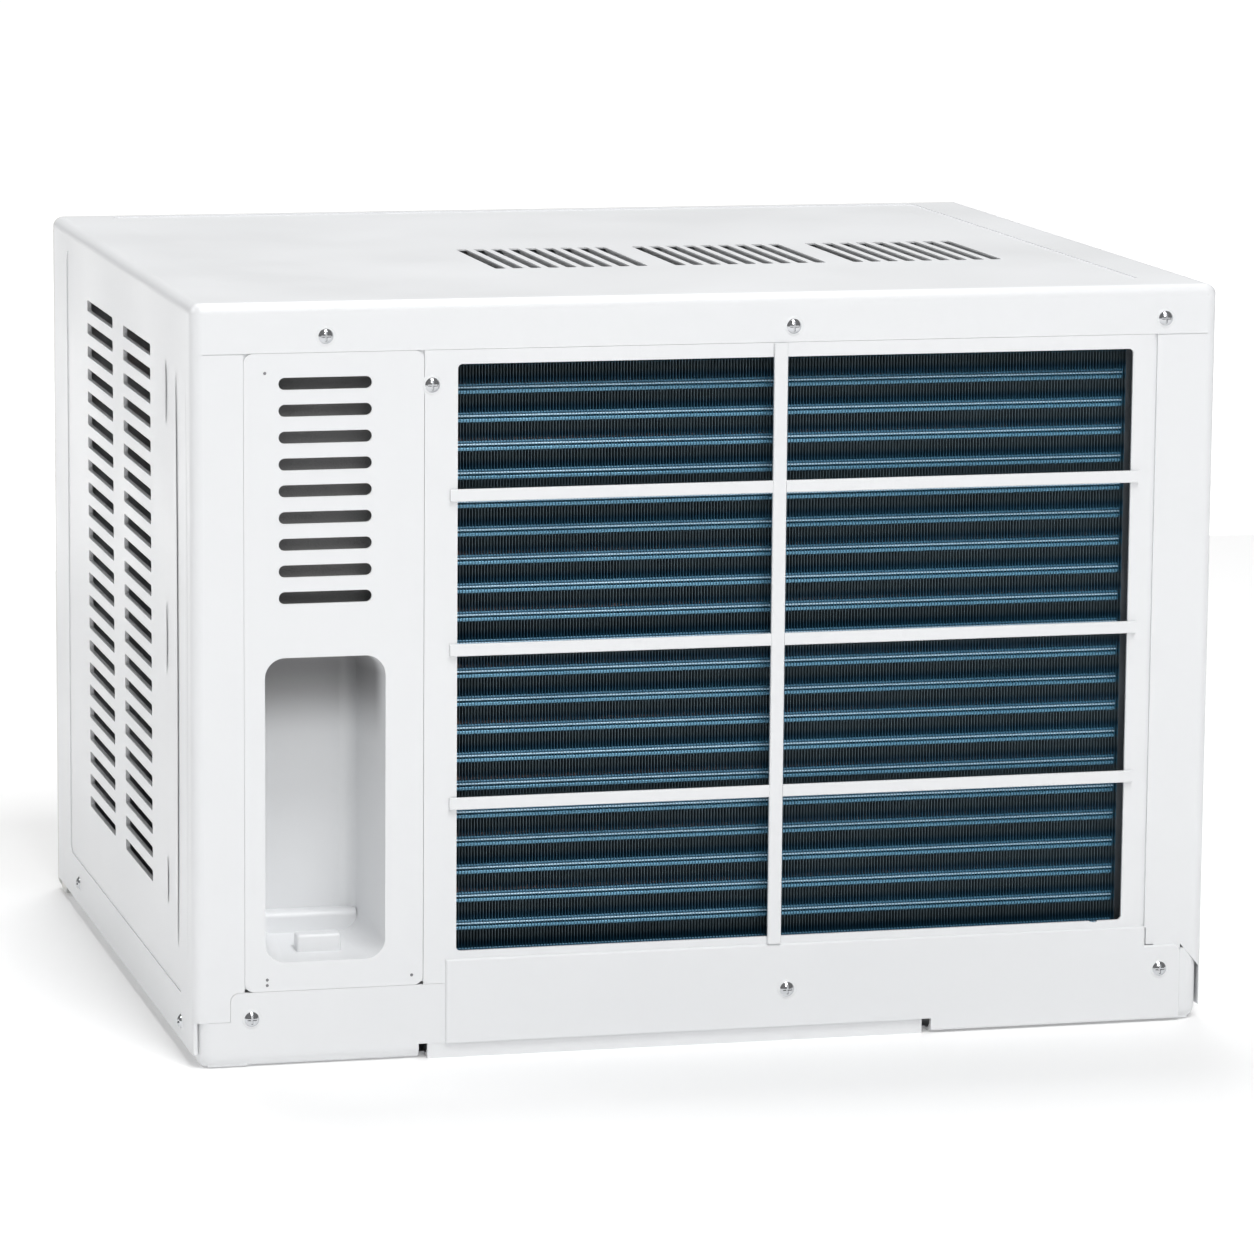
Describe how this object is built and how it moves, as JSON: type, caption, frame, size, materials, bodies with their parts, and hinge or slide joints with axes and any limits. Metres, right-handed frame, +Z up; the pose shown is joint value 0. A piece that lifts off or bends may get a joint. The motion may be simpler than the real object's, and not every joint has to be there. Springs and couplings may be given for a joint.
{
  "type": "window air conditioner",
  "caption": "Compact through-window air conditioner with slotted steel case, guarded condenser, hand recess, louvred plastic front and full refrigeration set inside.",
  "frame": {"origin": "middle of the base pan's underside, where the unit rests on the sill", "axes": "+X along the case's width, towards the hand recess; +Y outdoors, towards the condenser; +Z up"},
  "size_m": [0.4736, 0.4043, 0.34],
  "materials": {
    "case_paint": "semi-gloss off-white baked enamel",
    "pan_steel": "semi-gloss off-white baked enamel",
    "screw_steel": "bright zinc",
    "front_plastic": "fine-textured moulded plastic",
    "link_plastic": "plain moulded",
    "filter_plastic": "plain moulded",
    "filter_mesh": "woven nylon mesh",
    "knob_plastic": "smooth moulded",
    "shaft_steel": "ground steel",
    "switch_plastic": "moulded phenolic",
    "sheet_zinc": "galvanised sheet",
    "can_aluminium": "drawn can",
    "black_rubber": "moulded rubber",
    "damper_plastic": "moulded",
    "foam": "moulded foam",
    "wheel_plastic": "moulded",
    "motor_paint": "satin black enamel",
    "nut_steel": "zinc-plated",
    "fin_aluminium": "dark coated fin stock",
    "copper": "bright drawn copper",
    "end_steel": "galvanised sheet",
    "compressor_paint": "satin black enamel",
    "cover_plastic": "moulded"
  },
  "bodies": {
    "housing": {"accumulator": "compressor_paint", "base_pan": "pan_steel", "blower_scroll": "foam", "bulkhead": "sheet_zinc", "capillary_tube": "copper", "case_screws": "screw_steel", "case_wrap": "case_paint", "compressor": "compressor_paint", "compressor_grommets": "black_rubber", "compressor_nuts": "nut_steel", "compressor_plinth": "pan_steel", "condenser_end_plates": "end_steel", "condenser_fins": "fin_aluminium", "condenser_guard": "case_paint", "condenser_tube": "copper", "control_box": "sheet_zinc", "cord_gland": "black_rubber", "discharge_pipe": "copper", "drip_tray": "damper_plastic", "evaporator_end_plates": "end_steel", "evaporator_fins": "fin_aluminium", "evaporator_tube": "copper", "fan_motor": "motor_paint", "fan_shroud": "wheel_plastic", "filter_drier": "copper", "front_bezel": "front_plastic", "intake_grille": "front_plastic", "liquid_pipe": "copper", "louvre_frame": "front_plastic", "mode_switch": "switch_plastic", "motor_bracket": "sheet_zinc", "motor_nuts": "nut_steel", "rear_service_panel": "case_paint", "run_capacitor": "can_aluminium", "suction_elbow": "copper", "suction_pipe": "copper", "terminal_cover": "cover_plastic", "thermostat": "switch_plastic"},
    "fan_set": {"fan_shaft": "shaft_steel", "blower_wheel": "wheel_plastic", "condenser_fan": "wheel_plastic"},
    "filter": {"filter_frame": "filter_plastic", "filter_mesh": "filter_mesh"},
    "mode_control": {"mode_knob": "knob_plastic", "mode_shaft": "shaft_steel"},
    "temperature_control": {"thermostat_knob": "knob_plastic", "thermostat_shaft": "shaft_steel"},
    "vent_pull": {"vent_rod": "shaft_steel"},
    "vent_flap": {"vent_damper": "damper_plastic"},
    "blade_link": {"louvre_link": "link_plastic"},
    "vane_tie": {"vane_tie_bar": "link_plastic"},
    "blade_1": {"louvre_blade_1": "front_plastic"},
    "blade_2": {"louvre_blade_2": "front_plastic"},
    "blade_3": {"louvre_blade_3": "front_plastic"},
    "blade_4": {"louvre_blade_4": "front_plastic"},
    "upright_vane_1": {"vane_1": "front_plastic"},
    "upright_vane_2": {"vane_2": "front_plastic"},
    "upright_vane_3": {"vane_3": "front_plastic"},
    "upright_vane_4": {"vane_4": "front_plastic"},
    "upright_vane_5": {"vane_5": "front_plastic"}
  },
  "joints": [
    {"name": "fan_spin", "type": "hinge", "parent": "housing", "child": "fan_set", "pos_m": [-0.039, 0, 0.165], "axis": [0, 1, 0], "continuous": true},
    {"name": "filter_slide", "type": "slide", "parent": "housing", "child": "filter", "axis": [-1, 0, 0], "range_m": [0, 0.36]},
    {"name": "mode_turn", "type": "hinge", "parent": "housing", "child": "mode_control", "pos_m": [0.183, -0.189, 0.166], "axis": [0, 1, 0], "range_deg": [0, 210]},
    {"name": "thermostat_turn", "type": "hinge", "parent": "housing", "child": "temperature_control", "pos_m": [0.183, -0.189, 0.256], "axis": [0, 1, 0], "range_deg": [0, 270]},
    {"name": "vent_slide", "type": "slide", "parent": "housing", "child": "vent_pull", "axis": [0, -1, 0], "range_m": [0, 0.016]},
    {"name": "vent_swing", "type": "hinge", "parent": "housing", "child": "vent_flap", "pos_m": [0.1, -0.0932, 0.3025], "axis": [1, 0, 0], "range_deg": [0, 38.2]},
    {"name": "blade_tilt_1", "type": "hinge", "parent": "housing", "child": "blade_1", "pos_m": [-0.045, -0.183, 0.251], "axis": [1, 0, 0], "range_deg": [-25, 35]},
    {"name": "blade_tilt_2", "type": "hinge", "parent": "housing", "child": "blade_2", "pos_m": [-0.045, -0.183, 0.269], "axis": [1, 0, 0], "range_deg": [-25, 35]},
    {"name": "blade_tilt_3", "type": "hinge", "parent": "housing", "child": "blade_3", "pos_m": [-0.045, -0.183, 0.287], "axis": [1, 0, 0], "range_deg": [-25, 35]},
    {"name": "blade_tilt_4", "type": "hinge", "parent": "housing", "child": "blade_4", "pos_m": [-0.045, -0.183, 0.305], "axis": [1, 0, 0], "range_deg": [-25, 35]},
    {"name": "blade_link_turn", "type": "hinge", "parent": "blade_1", "child": "blade_link", "pos_m": [-0.204, -0.1775, 0.251], "axis": [1, 0, 0], "range_deg": [-35, 25]},
    {"name": "vane_swing_1", "type": "hinge", "parent": "housing", "child": "upright_vane_1", "pos_m": [-0.177, -0.158, 0.278], "axis": [0, 0, 1], "range_deg": [-40, 40]},
    {"name": "vane_swing_2", "type": "hinge", "parent": "housing", "child": "upright_vane_2", "pos_m": [-0.111, -0.158, 0.278], "axis": [0, 0, 1], "range_deg": [-40, 40]},
    {"name": "vane_swing_3", "type": "hinge", "parent": "housing", "child": "upright_vane_3", "pos_m": [-0.045, -0.158, 0.278], "axis": [0, 0, 1], "range_deg": [-40, 40]},
    {"name": "vane_swing_4", "type": "hinge", "parent": "housing", "child": "upright_vane_4", "pos_m": [0.021, -0.158, 0.278], "axis": [0, 0, 1], "range_deg": [-40, 40]},
    {"name": "vane_swing_5", "type": "hinge", "parent": "housing", "child": "upright_vane_5", "pos_m": [0.087, -0.158, 0.278], "axis": [0, 0, 1], "range_deg": [-40, 40]},
    {"name": "vane_tie_turn", "type": "hinge", "parent": "upright_vane_1", "child": "vane_tie", "pos_m": [-0.177, -0.149, 0.25], "axis": [0, 0, 1], "range_deg": [-40, 40]}
  ],
  "couplings": [
    {"joint": "vent_swing", "follows": "vent_slide", "rad_per_m": 41.561},
    {"joint": "blade_tilt_2", "follows": "blade_tilt_1", "ratio": 1},
    {"joint": "blade_tilt_3", "follows": "blade_tilt_1", "ratio": 1},
    {"joint": "blade_tilt_4", "follows": "blade_tilt_1", "ratio": 1},
    {"joint": "blade_link_turn", "follows": "blade_tilt_1", "ratio": -1},
    {"joint": "vane_swing_2", "follows": "vane_swing_1", "ratio": 1},
    {"joint": "vane_swing_3", "follows": "vane_swing_1", "ratio": 1},
    {"joint": "vane_swing_4", "follows": "vane_swing_1", "ratio": 1},
    {"joint": "vane_swing_5", "follows": "vane_swing_1", "ratio": 1},
    {"joint": "vane_tie_turn", "follows": "vane_swing_1", "ratio": -1}
  ]
}
